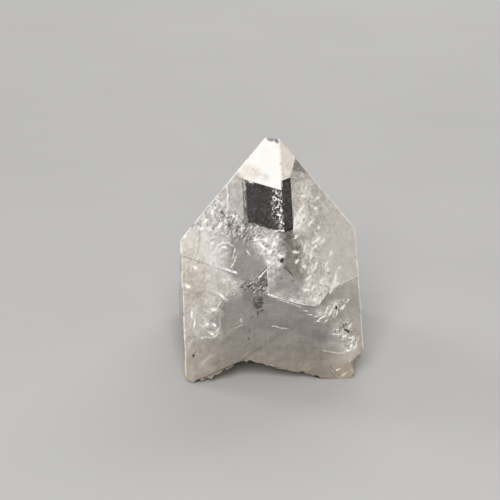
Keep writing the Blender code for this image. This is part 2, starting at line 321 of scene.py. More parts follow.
    def below_line(self, points, soft):
        """1 below a line through points (x, z), for the crystal's front, fading over soft on each side."""
        over = self.minus(self.z, self.line_height(points))
        return self.step(self.math("DIVIDE", over, soft), 1.0, -1.0)

    def relief(self, height, size, strength=1.0, under=None):
        """A bump of this height in millimetres."""
        inputs = {"Strength": strength, "Distance": size * MM, "Height": height}
        if under is not None:
            inputs["Normal"] = under
        return self.node("ShaderNodeBump", inputs).outputs[0]


# Places on the crystal's front are in millimetres, x to the right and z up

# The upper rim of the smooth lower layer, as seen from the front: x and z of its corners
RIM_LINE = [
    (-14.9, 4.4), (-11.8, 6.95), (-9.3, 11.3), (-7.7, 13.3), (-4.8, 15.3), (-1.4, 19.5), (-1.19, 20.0),
    (-1.17, 15.6), (0.2, 15.14), (3.5, 14.0), (6.76, 13.36), (8.9, 14.6), (14.9, 14.65),
]

# Height of the break along the foot of the front face: x and z of its corners
BREAK_LINE = [
    (-14.9, 0.5), (-13.6, 0.3), (-10.3, 1.3), (-7.8, 2.6), (-6.1, 3.85), (-3.7, 3.75), (0.5, 2.3), (4.6, 1.5),
    (7.2, 0.45), (11.3, 0.0), (12.4, 2.6), (14.9, 5.2),
]

# Cloudy and clear places in front: x, z, half width, half height, whiteness, clearness, share of flecks
PATCHES = [
    (-4.4, 19.0, 4.2, 3.4, 0.40, 0.40, 0.05),
    (-12.0, 18.0, 4.6, 5.0, 0.72, 0.1, 0.12),
    (-12.8, 12.6, 2.6, 4.2, 0.55, 0.14, 0.2),
    (-7.6, 15.0, 2.4, 1.5, 0.6, 0.16, 0.22),
    (-10.0, 11.8, 1.6, 1.0, 0.55, 0.14, 0.25),
    (-9.6, 24.2, 3.0, 2.6, 0.64, 0.15, 0.55),
    (-7.8, 23.6, 0.8, 0.8, 0.95, 0.02, 0.1),
    (-0.9, 22.3, 2.5, 1.7, 0.54, 0.14, 0.5),
    (3.1, 20.8, 1.9, 4.6, 0.34, 0.45, 0.25),
    (7.2, 18.6, 2.7, 4.2, 0.62, 0.16, 0.5),
    (11.5, 19.0, 3.6, 6.0, 0.69, 0.16, 0.0),
    (4.6, 25.7, 1.1, 1.7, 0.86, 0.05, 0.9),
    (5.6, 28.4, 1.4, 0.9, 0.72, 0.1, 0.6),
    (2.3, 16.9, 2.9, 2.4, 0.44, 0.36, 0.1),
    (7.1, 16.5, 2.3, 2.2, 0.68, 0.14, 0.5),
    (8.8, 14.9, 2.2, 1.6, 0.72, 0.12, 0.45),
]

# Places in the smooth lower layer, in the same order of values
LAYER_PATCHES = [
    (-6.0, 12.3, 2.6, 1.5, 0.42, 0.5, 0.0),
    (-12.9, 8.0, 1.6, 3.4, 0.47, 0.3, 0.2),
    (-10.4, 8.4, 1.4, 0.9, 0.44, 0.28, 0.25),
    (-9.8, 11.2, 1.1, 0.5, 0.54, 0.22, 0.3),
    (-8.4, 13.4, 0.9, 0.45, 0.7, 0.12, 0.35),
    (-8.6, 3.6, 1.9, 1.2, 0.4, 0.45, 0.1),
    (12.4, 6.4, 1.9, 1.5, 0.64, 0.3, 0.3),
    (9.6, 12.2, 3.0, 1.0, 0.58, 0.3, 0.45),
    (11.4, 8.9, 1.9, 1.5, 0.58, 0.3, 0.5),
    (5.0, 2.6, 1.2, 0.9, 0.42, 0.4, 0.1),
]

# Thin bright lines in front: white cracks, and painted highlights along the rims of the ledges. Each with its
# half width in millimetres and its strength
BRIGHT_MARKS = [
    ([(-9.04, 22.19), (-8.24, 23.22), (-7.26, 23.88)], 0.3, 1.0),
    ([(-9.31, 19.19), (-8.75, 20.33), (-7.98, 20.87), (-7.05, 21.13), (-6.33, 20.85)], 0.13, 0.8),
    ([(-9.91, 19.84), (-9.31, 20.82)], 0.14, 0.9),
    ([(-6.07, 20.52), (-6.42, 19.24)], 0.13, 1.0),
    ([(-5.94, 19.54), (-6.26, 18.66), (-6.85, 17.93)], 0.13, 1.0),
    ([(-7.9, 17.4), (-5.97, 17.34)], 0.2, 1.1),
    ([(-10.05, 17.09), (-7.8, 17.28)], 0.12, 1.0),
    ([(-6.91, 28.9), (-6.8, 27.65), (-6.93, 25.6)], 0.17, 1.1),
    ([(-6.93, 25.6), (-6.98, 24.53), (-7.32, 22.82)], 0.1, 0.6),
    ([(-1.33, 19.2), (-2.55, 17.8)], 0.13, 1.0),
    ([(-1.19, 20.0), (-1.19, 15.7)], 0.09, 0.6),
    ([(-1.2, 15.66), (0.22, 15.16)], 0.17, 1.2),
    ([(0.22, 15.16), (3.49, 14.0), (6.76, 13.4)], 0.1, 0.8),
    ([(0.3, 14.85), (2.4, 14.05), (4.0, 13.4)], 0.13, 0.6),
    ([(-0.6, 10.15), (0.6, 9.8), (2.06, 9.5)], 0.11, 0.8),
    ([(0.3, 24.7), (1.67, 25.1)], 0.14, 1.2),
    ([(-4.2, 30.25), (-4.0, 29.5), (-4.1, 28.9)], 0.1, 0.7),
    ([(-4.2, 27.9), (-4.0, 27.2), (-4.15, 26.6)], 0.08, 0.6),
    ([(-12.1, 6.9), (-11.24, 7.3), (-10.3, 7.45), (-9.16, 8.45)], 0.12, 0.6),
    ([(9.0, 14.55), (10.6, 14.8), (14.8, 14.8)], 0.08, 0.4),
    ([(12.6, 6.5), (12.95, 5.6), (12.1, 5.05), (10.6, 4.75), (7.9, 5.35)], 0.16, 0.45),
    ([(-9.4, 5.9), (-12.6, 3.2)], 0.1, 0.25),
    ([(-11.6, 10.8), (-10.4, 10.7), (-9.2, 11.7), (-8.7, 12.7)], 0.15, 0.6),
    ([(-12.1, 8.6), (-11.1, 8.1), (-9.7, 8.3), (-8.95, 9.3), (-8.95, 10.4)], 0.14, 0.5),
    ([(-6.6, 9.9), (-5.5, 10.5)], 0.12, 0.4),
]

# Thin dark lines in front, in the same order of values
DARK_MARKS = [
    ([(-7.02, 24.6), (-7.36, 22.9), (-7.7, 21.8)], 0.1, 0.8),
    ([(-14.8, 17.3), (-13.84, 17.19), (-12.31, 17.22), (-11.72, 17.01)], 0.09, 0.55),
    ([(-11.54, 20.88), (-11.96, 18.71), (-12.69, 16.86), (-12.91, 15.71)], 0.09, 0.6),
    ([(-9.5, 16.98), (-5.8, 16.95)], 0.08, 0.5),
    ([(-1.22, 19.66), (-2.75, 17.75)], 0.13, 1.0),
    ([(-1.45, 18.6), (-2.5, 17.45)], 0.1, 0.9),
    ([(1.5, 20.3), (2.9, 18.6)], 0.15, 1.3),
    ([(1.75, 24.95), (4.3, 25.1)], 0.17, 1.6),
    ([(3.93, 7.56), (4.37, 6.36), (5.01, 5.06), (4.61, 3.24), (3.96, 2.16)], 0.16, 0.35),
    ([(7.56, 5.15), (9.06, 4.65), (10.56, 4.46), (12.39, 4.2)], 0.14, 0.3),
    ([(9.18, 1.41), (9.81, 0.64), (10.33, 0.0)], 0.16, 0.7),
    ([(-9.8, 17.5), (-9.95, 14.6)], 0.1, 0.4),
    ([(-2.8, 12.75), (-2.1, 12.65)], 0.3, 0.5),
    ([(-12.6, 12.4), (-11.2, 13.4), (-9.5, 13.3), (-7.9, 13.4), (-6.1, 14.3)], 0.2, 0.3),
    ([(9.2, 2.4), (9.8, 1.6), (10.6, 0.6)], 0.14, 0.7),
    ([(11.9, 3.3), (12.6, 2.1)], 0.12, 0.6),
    ([(-2.95, 11.8), (-2.7, 11.75)], 0.2, 0.4),
]

# Painted glints, bright flecks of light caught by cracks inside the crystal, seen in front: x, z, slope in
# degrees, half length and half height in millimetres
PAINTED_GLINTS = [
    (7.45, 22.0, 14, 0.62, 0.2), (7.0, 21.2, 10, 0.5, 0.17), (3.54, 21.64, -20, 0.42, 0.17),
    (3.62, 20.43, 0, 0.26, 0.2), (3.7, 23.6, 20, 0.36, 0.22), (4.1, 26.3, 60, 0.3, 0.2),
    (4.9, 26.9, 40, 0.5, 0.3), (5.3, 25.9, 30, 0.4, 0.2), (5.4, 28.6, -15, 0.36, 0.15),
    (6.1, 29.5, 70, 0.3, 0.15), (8.1, 27.5, 0, 0.24, 0.18), (7.96, 23.5, 0, 0.24, 0.2),
    (5.2, 21.8, 70, 0.5, 0.16), (6.9, 18.7, 60, 0.4, 0.2), (8.9, 18.2, 40, 0.36, 0.16),
    (3.65, 25.3, 80, 0.8, 0.24), (9.1, 17.4, 0, 0.2, 0.2), (10.3, 15.6, 70, 0.7, 0.28),
    (10.6, 14.95, 10, 0.5, 0.16), (9.6, 14.7, 40, 0.42, 0.2), (6.3, 16.1, 20, 0.4, 0.2),
    (7.4, 11.2, 35, 0.7, 0.12), (9.0, 11.8, 30, 0.5, 0.15), (8.4, 12.4, 60, 0.4, 0.12),
    (5.6, 11.9, -10, 0.3, 0.08), (5.0, 12.6, -10, 0.24, 0.08), (6.6, 11.6, 10, 0.3, 0.09),
    (9.8, 12.5, 50, 0.3, 0.13), (11.3, 11.7, 20, 0.4, 0.2), (7.0, 10.7, 0, 0.3, 0.08),
    (10.2, 11.4, 60, 0.3, 0.14), (8.2, 10.7, 40, 0.34, 0.1), (12.4, 12.2, 30, 0.2, 0.12),
    (10.3, 9.1, 20, 0.34, 0.12), (9.9, 8.2, -10, 0.44, 0.1), (11.3, 7.8, 20, 0.34, 0.14),
    (12.5, 7.3, -20, 0.4, 0.14), (12.4, 8.8, 40, 0.24, 0.12), (13.3, 6.0, 60, 0.4, 0.14),
    (12.8, 6.9, 30, 0.24, 0.12), (12.5, 5.9, 70, 0.4, 0.18), (12.0, 5.2, 10, 0.34, 0.18),
    (11.5, 0.8, 40, 0.5, 0.2), (10.4, 1.8, 20, 0.3, 0.16), (-1.2, 23.1, 30, 0.36, 0.28),
    (-1.8, 22.1, -30, 0.5, 0.3), (-0.6, 21.7, 40, 0.5, 0.24), (-2.7, 22.7, 20, 0.4, 0.2),
    (0.0, 22.9, 50, 0.5, 0.24), (0.6, 23.9, 70, 0.36, 0.12), (-1.0, 20.3, -30, 0.4, 0.22),
    (0.9, 21.6, 10, 0.34, 0.2), (-9.4, 24.6, 70, 0.5, 0.2), (-10.6, 23.1, 60, 0.4, 0.2),
    (-11.2, 21.9, 20, 0.3, 0.2), (-7.8, 20.3, 10, 0.34, 0.2), (-12.6, 16.1, 0, 0.4, 0.25),
    (-13.9, 13.2, 0, 0.4, 0.3), (-8.4, 13.5, -20, 0.5, 0.2), (-9.9, 11.3, 20, 0.42, 0.18),
    (-10.9, 9.0, 30, 0.3, 0.2), (-10.2, 8.0, 0, 0.26, 0.16), (-9.9, 9.3, 0, 0.24, 0.2),
    (-13.4, 9.6, 80, 0.5, 0.16), (-13.0, 8.4, 80, 0.4, 0.14), (-4.0, 20.6, -40, 0.24, 0.12),
    (6.5, 24.6, 20, 0.4, 0.2), (8.6, 21.5, 30, 0.3, 0.2), (6.2, 20.2, 70, 0.36, 0.2),
    (4.9, 19.3, -30, 0.3, 0.2), (5.6, 17.6, 10, 0.5, 0.2), (7.9, 16.4, 30, 0.34, 0.2),
    (9.9, 19.4, 60, 0.24, 0.2), (7.6, 26.2, -20, 0.24, 0.18), (4.2, 24.9, 10, 0.4, 0.24),
    (5.0, 16.2, -20, 0.4, 0.18), (6.6, 14.6, 20, 0.5, 0.2), (11.2, 17.0, 0, 0.2, 0.18),
    (1.3, 26.2, 60, 0.24, 0.12), (-3.1, 30.35, 0, 0.3, 0.14), (-14.0, 20.0, 40, 0.3, 0.2),
    (-6.0, 25.0, 0, 0.2, 0.18),
]

# The etch pits in front: x, z and half width in millimetres
PIT_MOUTHS = [
    (0.6, 20.9, 0.55), (-13.5, 4.1, 0.45), (-11.9, 11.9, 0.4), (-2.7, 14.6, 1.0), (-2.9, 12.7, 0.4),
    (-2.1, 13.0, 0.3), (-3.7, 12.0, 0.35), (0.9, 18.4, 0.4), (0.4, 17.5, 0.3), (-4.5, 8.1, 0.4),
    (11.7, 8.6, 0.5), (11.3, 9.3, 0.4), (11.0, 8.0, 0.4), (12.3, 8.1, 0.35), (10.1, 12.0, 0.5),
    (10.7, 11.2, 0.35),
]


def face_point(face, x, z, sunk):
    """The point of a front face at this x and z, sunk below its plane, in millimetres."""
    direction, reach = FACES[face]
    return Vector((x, (reach - sunk - direction.x * x - direction.z * z) / direction.y, z))


def face_at(x, z):
    """Which front face shows at this x and z."""
    return max(FRONT_FACES, key=lambda face: face_point(face, x, z, 0.0).y)


def touches(part, points, margin):
    """Whether a mark through points (x, z), or a place of this half size about them, shows on a front face."""
    steps = (-margin, 0.0, margin)
    return any(face_at(x + side, z + rise) == part for x, z in points for side in steps for rise in steps)


class CrystalFinish(Finish):
    """The finish of one part of the crystal's surface, with the patterns that all parts share.

    Its look is how white, clear, flecked, rough, gritty, beige, pink and chipped the crystal is.
    """

    def __init__(self, part):
        super().__init__(f"apophyllite_{part}")
        self.part = part
        self.broad = self.cloud(5.0, 3, 0.55, 0.3)
        self.wisps = self.cloud(1.5, 4, 0.6, 0.5, shift=(3, 1, 7))
        self.fine = self.cloud(0.5, 3, 0.6, 0.4, shift=(9, 4, 2))
        self.streaks = self.cloud(0.45, 3, 0.55, 0.2, stretch=(1, 1, 8))
        self.needles = self.cloud(0.34, 2, 0.5, 0.3, stretch=(1.6, 1, 0.9), shift=(5, 2, 8), turn=24)
        self.folds = self.crumpled(1.2, 1.5)
        small_cells = self.cells(self.mapped(self.folds, (0, 0, 0), (0, -25, 0), (1.5, 1, 0.8)), 0.5)
        self.small = self.cell_value(small_cells)
        self.sway = self.minus(self.wisps, 0.5)
        self.drift = self.times(self.minus(self.plus(self.broad, (self.wisps, 0.6)), 0.8), 0.8)
        white = {"front_right": 0.62, "around": 0.74}.get(part, 0.55)
        self.look = {
            "white": self.plus(white, (self.drift, 0.12), (self.streaks, 0.05)),
            "clear": self.plus(0.25, (self.drift, -0.2)),
            "flecks": self.times(self.step(self.plus(self.broad, self.sway), 0.35, 0.9), 0.45),
            "rough": self.plus(0.25, (self.fine, 0.2)),
            "grit": 0.6, "beige": 0.0, "pink": 0.0, "chips": 0.0,
        }

    def cover(self, mask, **zone):
        """Lays the look of a zone over the one that is there, where the mask is 1."""
        for name, value in zone.items():
            self.look[name] = self.blend(mask, self.look[name], value)

    def swaying(self, amount):
        """The height, made uneven by this much."""
        return self.plus(self.z, (self.sway, amount))


def lay_places(make, places, within=None, grit=0.25, gain=0.9):
    """Lays the cloudy and clear places that show on this part, if asked only within a mask."""
    for x, z, wide, high, white, clear, flecks in places:
        if touches(make.part, [(x, z)], max(wide, high)):
            mask = make.patch(x, z, wide, high, make.drift)
            if within is not None:
                mask = make.times(within, mask)
            make.cover(mask, white=white, clear=clear, flecks=flecks, grit=grit + gain * flecks)


def lower_layer(make):
    """The smooth layer below the rim, milkier towards the sides and the foot."""
    x = make.x
    soft = make.blend(make.step(x, -6.0, -4.4), make.plus(0.9, (make.wisps, 1.6)), 0.06)
    lower = make.below_line(RIM_LINE, soft)
    sides = make.step(make.plus(make.size_of(x), (make.drift, 3.0)), 5.0, 14.0)
    ripples = make.cloud(0.7, 3, 0.5, 0.6, stretch=(5, 1, 1), shift=(4, 2, 6), turn=8)
    haze = make.plus(
        0.48, (sides, make.blend(make.step(x, -2.0, 2.0), 0.08, 0.22)), (make.drift, 0.07),
        (make.streaks, 0.04), (make.step(make.z, 7.0, 1.0), 0.08),
        (make.minus(ripples, 0.5), 0.09),
    )
    make.cover(lower, white=haze, clear=make.blend(sides, 0.65, 0.45), flecks=0.0, rough=0.13, grit=0.28)
    lay_places(make, LAYER_PATCHES, lower, 0.3, 1.0)


def combed_hollow(make):
    """The hollow with combed strokes left of the raised layer, and the grey speck under it."""
    x, z = make.x, make.z
    hollow = make.where(
        (make.plus(x, (make.minus(z, 16.5), -0.9)), -4.9, -4.5), (x, -1.15, -1.3),
        (make.swaying(0.7), 15.1, 15.5), (make.plus(z, (x, -0.5)), 19.2, 18.8),
    )
    combed = make.cloud(0.3, 2, 0.5, 0.5, stretch=(6.0, 1, 1), shift=(0, 5, 1), turn=-16)
    strokes = make.plus(0.17, (make.step(combed, 0.45, 0.85), 0.5))
    make.cover(hollow, white=strokes, clear=0.3, flecks=0.1)
    speck = make.patch(-2.75, 14.3, 0.9, 1.2, make.times(make.sway, 0.5), 0.25)
    make.cover(speck, white=make.plus(0.06, (make.small, 0.14)), clear=0.05, flecks=0.0, grit=0.1)


def left_zones(make, window_top):
    """The scratched zone, the even band beside the window, and the white left half of the tip."""
    x, z = make.x, make.z
    scratched = make.patch(-5.3, 24.0, 3.0, 1.7, make.drift)
    strokes = make.cloud(0.34, 2, 0.5, 0.7, stretch=(1, 1, 4.0), shift=(0, 5, 1), turn=20)
    strokes = make.plus(0.3, (make.step(strokes, 0.5, 0.85), 0.7))
    make.cover(scratched, white=strokes, clear=0.25, grit=0.8)
    band = make.where((x, -6.9, -6.75), (x, -4.35, -4.45), (make.swaying(0.7), 25.0, 26.0))
    make.cover(band, white=make.plus(0.57, (make.small, 0.08)), flecks=0.03, grit=0.4)
    inward = make.plus(x, (make.minus(z, 31.0), 1.1))
    tip = make.where((z, window_top - 0.03, window_top + 0.06), (inward, -5.8, -3.6))
    make.cover(tip, white=0.93, clear=0.03, flecks=0.03, rough=0.4, grit=0.12)
    make.cover(make.patch(-3.2, 31.7, 1.6, 1.2, make.drift), white=0.84, beige=0.75, grit=0.5)
    make.cover(make.patch(-1.4, 31.8, 1.3, 0.6, make.drift), white=0.76, beige=0.3, grit=0.6)


def right_zones(make, window_top):
    """The pinkish right half of the tip, and the shaded strip that ends it."""
    x, z = make.x, make.z
    corner_x, corner_z = 3.65, 32.53
    tip_edge = make.minus(x, make.plus(corner_x, (make.minus(z, corner_z), 0.494)))
    tip = make.where((z, window_top + 1.27, window_top + 1.36), (tip_edge, 0.05, -0.05))
    make.cover(tip, white=0.9, clear=0.05, flecks=0.03, rough=0.35, grit=0.2, pink=0.9)
    worn_spot = make.times(tip, make.patch(2.8, 32.4, 0.9, 1.0, make.drift))
    make.cover(worn_spot, white=0.82, grit=0.9, pink=0.0, beige=0.5)
    foot = make.minus(z, make.plus(corner_z, (make.minus(x, corner_x), -0.464)))
    shade = make.where((tip_edge, 0.0, 0.12), (foot, -0.1, 0.3), (z, 34.9, 34.3))
    make.cover(shade, white=0.36, clear=0.35, flecks=0.35, grit=0.3)


def clear_window(make, sizes):
    """The clear window over the dark pocket of painted shade, with the white chips along its middle edge."""
    x, z = make.x, make.z
    left, right, bottom = (length / MM for length in (sizes.window_left, sizes.window_right, sizes.window_bottom))
    top = sizes.window_top / MM + (1.3 if make.part == "front_right" else 0.0)
    window = make.where(
        (x, left - 0.05, left + 0.05), (x, right + 0.05, right - 0.05), (z, top + 0.06, top - 0.03),
        (make.swaying(0.5), bottom - 0.15, bottom + 0.15),
    )
    flecks = make.plus(0.05, (make.step(x, -1.5, 1.6), 0.22))
    make.cover(window, white=0.85, clear=0.985, flecks=flecks, rough=0.06, grit=0.0, beige=0.0)
    if make.part == "front_left":
        strip = make.times(window, make.step(make.plus(x, (make.sway, 0.4)), -3.7, -4.0))
        make.cover(strip, white=make.plus(0.25, (make.small, 0.5)), clear=0.6)
        chatter = make.times(window, make.patch(0.9, 28.6, 0.9, 2.8, make.drift), make.step(x, 1.68, 1.6))
        chips = make.cloud(0.36, 2, 0.5, 0.8, stretch=(3.0, 1, 1), shift=(1, 3, 1), turn=14)
        make.cover(1.0, chips=make.times(chatter, make.step(chips, 0.56, 0.7)))


def front_zones(make, sizes):
    """The zones of the three faces in front, each where it shows."""
    window_top = sizes.window_top / MM
    lay_places(make, PATCHES)
    lower_layer(make)
    if make.part != "front_right":
        combed_hollow(make)
    if make.part == "front_left":
        left_zones(make, window_top)
    if make.part == "front_right":
        right_zones(make, window_top)
    if make.part != "front":
        clear_window(make, sizes)


def around_zones(make):
    """The sides and the back: milky and clear above, the smooth layer below, and a white tip."""
    milky = make.step(make.plus(make.broad, make.sway), 0.15, 0.75)
    # The sides and the back are set whiter than the faces in front: partly painted light, where the lamp in front
    # hardly reaches them
    make.cover(1.0, white=make.blend(milky, 0.66, 0.82), clear=make.blend(milky, 0.32, 0.14), grit=0.45)
    make.cover(make.step(make.swaying(3.0), 29.0, 32.0), white=0.92, clear=0.05, flecks=0.05, grit=0.2)
    lower = make.step(make.plus(make.z, (make.x, 0.12), (make.sway, 2.0)), 14.6, 13.6)
    haze = make.plus(0.64, (make.drift, 0.12))
    make.cover(lower, white=haze, clear=0.45, flecks=0.0, rough=0.13, grit=0.3)
    make.cover(make.times(lower, make.step(make.broad, 0.6, 0.85)), white=0.76, clear=0.2, flecks=0.4, grit=0.7)


def break_zones(make):
    """The ledges of the layers, the walls of the pits, the broken base and the chipped tip."""
    x, y, z = make.x, make.y, make.z
    ledge = make.plus(0.3, (make.small, make.blend(make.step(x, -3.0, -5.0), 0.55, 0.25)))
    make.cover(make.step(z, 6.0, 6.5), white=ledge, clear=0.2, flecks=0.2, rough=0.5, grit=1.0)
    make.cover(make.where((z, 6.0, 6.5), (z, 17.5, 16.5), (y, -12.0, -10.0)), white=0.34, flecks=0.0)
    nearest = make.nearest_oval((pit_x, pit_z, 0, wide, 1.33 * wide) for pit_x, pit_z, wide in PIT_MOUTHS)
    dim = make.plus(0.07, (make.small, 0.25))
    make.cover(make.where((nearest, 1.1, 0.9), (y, -2.0, -4.0)), white=dim, clear=0.05, flecks=0.0, grit=0.2)
    make.cover(make.step(z, 6.5, 6.0), white=0.62, clear=0.2, flecks=0.3, rough=0.4, grit=1.0)
    make.cover(make.step(z, 34.5, 35.0), white=0.9, clear=0.05, flecks=0.1, rough=0.45, grit=0.5)


def fleck_pattern(make):
    """How bright and how dark the small flecks and curved cracks are, by the zones' shares of flecks. The bright
    flecks are partly white fractures and partly painted glints of light off them.
    """
    flecks = make.look["flecks"]
    grit = make.plus(make.look["grit"], (flecks, 0.9))
    large = make.cell_value(make.cells(make.folds, 1.7))
    uneven = make.plus(
        (make.minus(make.small, 0.5), 0.24), (make.minus(large, 0.5), 0.14),
        (make.minus(make.fine, 0.5), 0.3), (make.sway, 0.2),
    )
    make.look["white"] = make.plus(make.look["white"], (uneven, grit))
    cracks = make.cracks(2.3, make.folds, 0.045)
    cracks = make.times(cracks, make.step(grit, 0.5, 1.0), make.step(make.fine, 0.3, 0.6))

    shards = make.cloud(0.42, 3, 0.55, 0.6, stretch=(1.7, 1, 0.9), shift=(2, 1, 4), turn=24)
    limit = make.minus(1.12, make.times(flecks, 0.52))
    soft = make.step(make.minus(shards, limit), -0.08, 0.14)
    crisp = make.step(make.minus(make.needles, limit), -0.02, 0.05)
    dots = make.picked(0.26, 0.05, (1, 1, 1.5), (7, 3, 1), 10)
    dots = make.times(make.step(flecks, 0.25, 0.5), dots)
    # The bright flecks: partly white fractures, partly painted glints
    bright = make.most(make.times(soft, 0.7), make.most(crisp, dots))
    bright = make.times(bright, make.step(flecks, 0.0, 0.06))
    bright = make.most(make.most(bright, make.times(cracks, 0.6)), make.look["chips"])
    dark = make.times(make.step(make.minus(make.minus(1.0, make.needles), limit), 0.0, 0.06), 0.7)
    return bright, dark


def drawn_lines(make, marks, lines, least_share, gain):
    """Adds the marks that show on this part to a pattern of lines, broken up by the fine pattern."""
    for points, width, strength in marks:
        if touches(make.part, points, 0.3):
            share = make.plus(least_share, (make.fine, gain))
            lines = make.most(lines, make.times(make.mark(points, width), share, strength))
    return lines


def flecks_and_lines(make):
    """Lays the flecks, cracks, strokes and lines over the zones, the dark ones under the bright ones."""
    bright, dark = fleck_pattern(make)
    if make.part in FRONT_FACES:
        make.roughen_flat(0.16, 0.5)
        bright = drawn_lines(make, BRIGHT_MARKS, bright, 0.3, 0.9)
        dark = drawn_lines(make, DARK_MARKS, dark, 0.5, 0.6)
        # Painted glints: bright ovals with a soft painted glow about them, for light caught by cracks inside the
        # crystal
        nearest = make.nearest_oval(glint for glint in PAINTED_GLINTS if touches(make.part, [glint[:2]], 0.3))
        nearest = make.plus(nearest, (make.minus(make.needles, 0.5), 1.3))
        wide = 1.25 if make.part == "front_right" else 1.0
        bright = make.most(bright, make.step(nearest, 1.2 * wide, 0.8 * wide))
        painted_glow = make.times(make.step(nearest, 3.0, 0.8), make.plus(0.1, (make.fine, 0.4)))
        make.cover(painted_glow, white=0.9, clear=0.1)
    make.cover(make.times(dark, 0.75), white=0.06)
    make.cover(make.least(bright, 1.0), white=0.98, clear=0.02)


def lit_and_worn_edges(make):
    """Whitens the edges, partly a painted highlight along them and partly wear, but for the lower ends of the
    pyramid's front faces, which fade into the layer.
    """
    kept = make.most(make.step(make.y, -14.7, -14.3), make.step(make.size_of(make.x), 14.3, 14.7))
    reach = 0.28
    if make.part in FRONT_FACES:
        outer = make.step(make.size_of(make.minus(make.x, 1.5)), 1.0, 3.0)
        reach = make.plus(0.2, (outer, 0.3))
    near = make.step(make.math("DIVIDE", make.edge_distance(), reach), 1.0, 0.2)
    edge_light_and_wear = make.times(near, make.plus(0.35, (make.wisps, 0.8)), kept)
    make.cover(make.least(edge_light_and_wear, 1.0), white=0.99, clear=0.03)


def crystal_colour(make, sizes):
    """The milk's own colour, warmer in places, with stains along the broken base."""
    x, z = make.x, make.z
    white = make.look["white"]
    grey = make.node("ShaderNodeCombineColor")
    for socket in grey.inputs:
        make.feed(socket, white)
    milk = make.tint(make.step(white, 0.5, 0.9), (1.0, 0.93, 0.86), (1.0, 0.98, 0.94))
    beige = make.times(make.look["beige"], make.plus(0.3, (make.wisps, 0.9)))
    cream = make.where((x, -9.5, -13.0), (z, 9.0, 13.0), (z, 22.0, 19.0))
    warm = make.step(make.swaying(2.0), 9.0, 2.0)
    colour = make.tint(1.0, grey.outputs[0], milk, "MULTIPLY")
    for share, filter_colour in (
        (beige, (1.0, 0.91, 0.8)), (make.look["pink"], (0.94, 0.88, 0.86)),
        (1.0 if make.part == "front_right" else 0.0, (1.0, 0.975, 0.945)),
        (cream, (1.0, 0.97, 0.9)), (warm, (1.0, 0.955, 0.87)),
    ):
        colour = make.tint(share, colour, filter_colour, "MULTIPLY")

    over_break = make.minus(make.swaying(1.6), make.line_height(BREAK_LINE))
    low = make.blend(make.step(make.y, -14.9, -11.0), over_break, make.plus(make.swaying(1.6), -0.6))
    stained = make.times(make.where((low, 1.7, 0.1), (make.wisps, 0.2, 0.65)), 0.75)
    nub = make.times(make.patch(11.5, 1.5, 1.5, 1.4, make.drift), make.step(make.wisps, 0.1, 0.5), 0.9)
    return make.tint(make.most(stained, nub), colour, tuple(sizes.stain))


def crystal_finish(sizes, part):
    """Clear crystal with milky zones, for one part of its surface."""
    make = CrystalFinish(part)
    if part in FRONT_FACES:
        front_zones(make, sizes)
    if part == "around":
        around_zones(make)
    if part == "break":
        break_zones(make)
    if part in ("break", "front_left"):
        for dent_x, wide in ((0.4, 0.55), (1.25, 0.4)):
            make.cover(make.patch(dent_x, 37.1, wide, 0.3, make.sway), white=0.28, clear=0.1)
    flecks_and_lines(make)
    lit_and_worn_edges(make)

    ribs = make.relief(make.streaks, 0.03, 0.6)
    dents = make.relief(make.plus((make.wisps, 0.6), (make.fine, 0.4)), 0.06, 0.7, ribs)
    grain = make.cloud(0.2, 2, 0.6, shift=(1, 7, 3))
    make.paint({
        "Base Color": crystal_colour(make, sizes),
        "Transmission Weight": make.look["clear"],
        "Roughness": make.look["rough"],
        "IOR": APOPHYLLITE_IOR,
        "Subsurface Weight": 0.25,
        "Subsurface Radius": (1.0, 0.96, 0.92),
        "Subsurface Scale": 0.8 * MM,
        "Coat Weight": 0.0 if part == "break" else 0.35,
        "Coat Roughness": 0.05,
        "Normal": make.relief(grain, 0.01, 0.6, dents),
    })
    return make.material


def pocket_finish(sizes):
    """Dark, speckled walls of the pocket behind the window: painted shade, the darkness seen through the clear
    window.
    """
    make = Finish("smoky_pocket")
    broad = make.cloud(2.6, 3, 0.6, 0.4)
    fine = make.cloud(0.42, 3, 0.65, 0.3, stretch=(1, 1, 1.4))
    specks = make.picked(0.34, 0.16, shift=(1, 4, 6))
    share = make.plus((broad, 0.12), (make.step(fine, 0.4, 1.0), 0.42), (specks, 0.5))
    # The pocket's dark colour is painted shade
    colour = make.tint(make.least(share, 1.0), tuple(sizes.pocket_shade), (0.42, 0.4, 0.37))
    roughness = make.plus(0.35, (fine, 0.4))
    make.paint({"Base Color": colour, "Roughness": roughness, "Normal": make.relief(fine, 0.04, 0.8)})
    return make.material


def grain_finish():
    """Dark mineral grains in the pits."""
    make = Finish("dark_grains")
    fine = make.cloud(0.22, 3, 0.6)
    colour = make.tint(fine, (0.012, 0.01, 0.009), (0.07, 0.055, 0.045))
    roughness = make.plus(0.5, (fine, 0.3))
    make.paint({"Base Color": colour, "Roughness": roughness, "Normal": make.relief(fine, 0.03, 0.8)})
    return make.material


def floor_finish(stage):
    """A pale, almost even floor."""
    make = Finish("pale_floor")
    mottle = make.cloud(40.0, 3, 0.5)
    colour = tuple(stage.floor_colour)
    soft = tuple(0.97 * part for part in colour)
    roughness = make.plus(0.7, (mottle, 0.1))
    make.paint({"Base Color": make.tint(mottle, colour, soft), "Roughness": roughness})
    return make.material


# Modelling tools
def set_mode(mode):
    bpy.ops.object.mode_set(mode=mode)


def deselect():
    if bpy.context.mode != "OBJECT":
        set_mode("OBJECT")
    bpy.ops.object.select_all(action="DESELECT")


def work_on(piece):
    """Selects one piece and makes it the active one."""
    deselect()
    piece.select_set(True)
    bpy.context.view_layer.objects.active = piece


